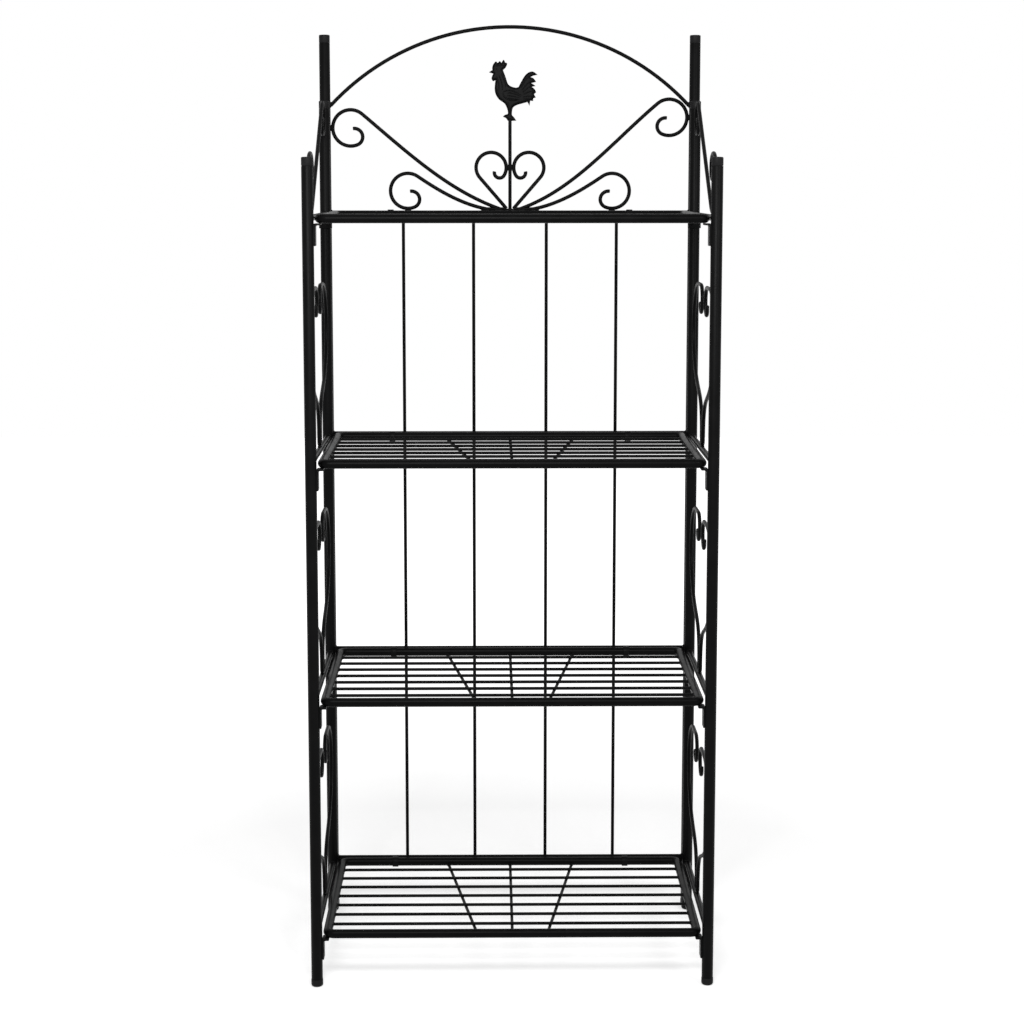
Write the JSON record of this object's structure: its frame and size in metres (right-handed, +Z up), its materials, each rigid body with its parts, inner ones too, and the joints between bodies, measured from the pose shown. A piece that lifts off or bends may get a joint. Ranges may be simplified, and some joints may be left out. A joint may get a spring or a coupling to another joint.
{
  "type": "folding plant stand",
  "caption": "Tall black steel plant stand with wire shelves that tip up, side frames of heart scrolls that swing, and an arched scroll crest with a cockerel.",
  "frame": {"origin": "on the floor, at the middle of the stand's width and depth", "axes": "+Z up, +X to the right seen from the front, +Y to the back"},
  "size_m": [0.64, 0.393, 1.5206],
  "materials": {
    "coat": "satin black powder coat",
    "plug": "matte black moulded plastic"
  },
  "bodies": {
    "back_frame": {"upright_left": "coat", "upright_right": "coat", "upright_cap_left": "plug", "upright_cap_right": "plug", "upright_foot_left": "plug", "upright_foot_right": "plug", "cross_rail_bottom": "coat", "cross_rail_lower": "coat", "cross_rail_upper": "coat", "cross_rail_top": "coat", "back_wire_1": "coat", "back_wire_2": "coat", "back_wire_3": "coat", "back_wire_4": "coat", "crest_arch": "coat", "crest_scroll_left": "coat", "crest_scroll_right": "coat", "crest_curl_left": "coat", "crest_curl_right": "coat", "crest_heart_left": "coat", "crest_heart_right": "coat", "crest_stem": "coat", "rooster": "coat"},
    "left_side": {"left_front_post": "coat", "left_rear_post": "coat", "left_front_cap": "plug", "left_rear_cap": "plug", "left_front_foot": "plug", "left_rear_foot": "plug", "left_crossbar_bottom": "coat", "left_crossbar_lower": "coat", "left_crossbar_upper": "coat", "left_crossbar_top": "coat", "left_heart_bottom": "coat", "left_heart_lower": "coat", "left_heart_upper": "coat", "left_scroll": "coat"},
    "right_side": {"right_front_post": "coat", "right_rear_post": "coat", "right_front_cap": "plug", "right_rear_cap": "plug", "right_front_foot": "plug", "right_rear_foot": "plug", "right_crossbar_bottom": "coat", "right_crossbar_lower": "coat", "right_crossbar_upper": "coat", "right_crossbar_top": "coat", "right_heart_bottom": "coat", "right_heart_lower": "coat", "right_heart_upper": "coat", "right_scroll": "coat"},
    "bottom_shelf": {"bottom_shelf_frame": "coat", "bottom_shelf_wires": "coat"},
    "lower_shelf": {"lower_shelf_frame": "coat", "lower_shelf_wires": "coat"},
    "upper_shelf": {"upper_shelf_frame": "coat", "upper_shelf_wires": "coat"},
    "top_shelf": {"top_shelf_frame": "coat", "top_shelf_wires": "coat"}
  },
  "joints": [
    {"name": "left_side_swing", "type": "hinge", "parent": "back_frame", "child": "left_side", "pos_m": [-0.309, 0.16455, 0], "axis": [0, 0, -1], "range_deg": [0, 90]},
    {"name": "right_side_swing", "type": "hinge", "parent": "back_frame", "child": "right_side", "pos_m": [0.309, 0.16455, 0], "axis": [0, 0, 1], "range_deg": [0, 90]},
    {"name": "bottom_shelf_tip", "type": "hinge", "parent": "back_frame", "child": "bottom_shelf", "pos_m": [0, 0.16885, 0.0855], "axis": [-1, 0, 0], "range_deg": [0, 90]},
    {"name": "lower_shelf_tip", "type": "hinge", "parent": "back_frame", "child": "lower_shelf", "pos_m": [0, 0.16885, 0.4595], "axis": [-1, 0, 0], "range_deg": [0, 90]},
    {"name": "upper_shelf_tip", "type": "hinge", "parent": "back_frame", "child": "upper_shelf", "pos_m": [0, 0.16885, 0.8335], "axis": [-1, 0, 0], "range_deg": [0, 90]},
    {"name": "top_shelf_tip", "type": "hinge", "parent": "back_frame", "child": "top_shelf", "pos_m": [0, 0.16885, 1.2075], "axis": [-1, 0, 0], "range_deg": [0, 90]}
  ]
}
